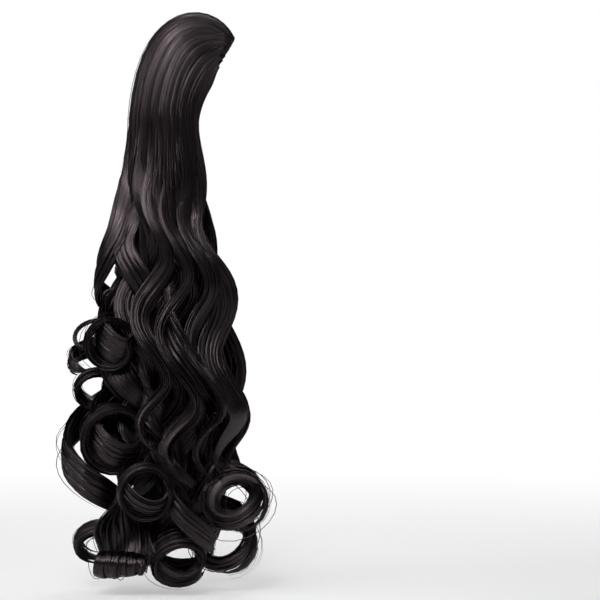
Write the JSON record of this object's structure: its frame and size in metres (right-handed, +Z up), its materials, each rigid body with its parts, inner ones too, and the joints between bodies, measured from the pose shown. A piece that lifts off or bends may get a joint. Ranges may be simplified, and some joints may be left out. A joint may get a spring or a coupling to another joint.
{
  "type": "clip-on wavy ponytail",
  "caption": "Black wavy clip-on ponytail: a smooth hump of hair over a claw clip, a full wavy bulk and ringlet ends that hang from it.",
  "frame": {"origin": "middle of the claw clip's grip, where the ponytail is held on the head", "axes": "+Z up, -Y towards the front, +X from the ponytail towards the middle of the head"},
  "size_m": [0.1808, 0.1662, 0.486],
  "materials": {
    "hair": "glossy black synthetic fibre",
    "clip_plastic": "polished black"
  },
  "bodies": {
    "root": {"claw_clip": "clip_plastic", "crown": "hair", "outer_front_tress": "hair", "outer_back_tress": "hair", "inner_front_tress": "hair", "inner_back_tress": "hair", "outer_roll": "hair", "outer_curl": "hair", "outer_thin_ring": "hair", "outer_knot": "hair", "outer_ringlet": "hair", "side_ribbon": "hair", "low_side_loop": "hair", "front_barrel": "hair", "front_ring": "hair", "front_tress": "hair", "inner_loop": "hair", "inner_side_lock": "hair", "low_band": "hair", "low_front_ring": "hair", "low_back_curl": "hair", "back_lock_1": "hair", "back_lock_2": "hair", "back_lock_3": "hair", "back_lock_4": "hair", "back_lock_5": "hair", "back_lock_6": "hair"}
  },
  "joints": []
}
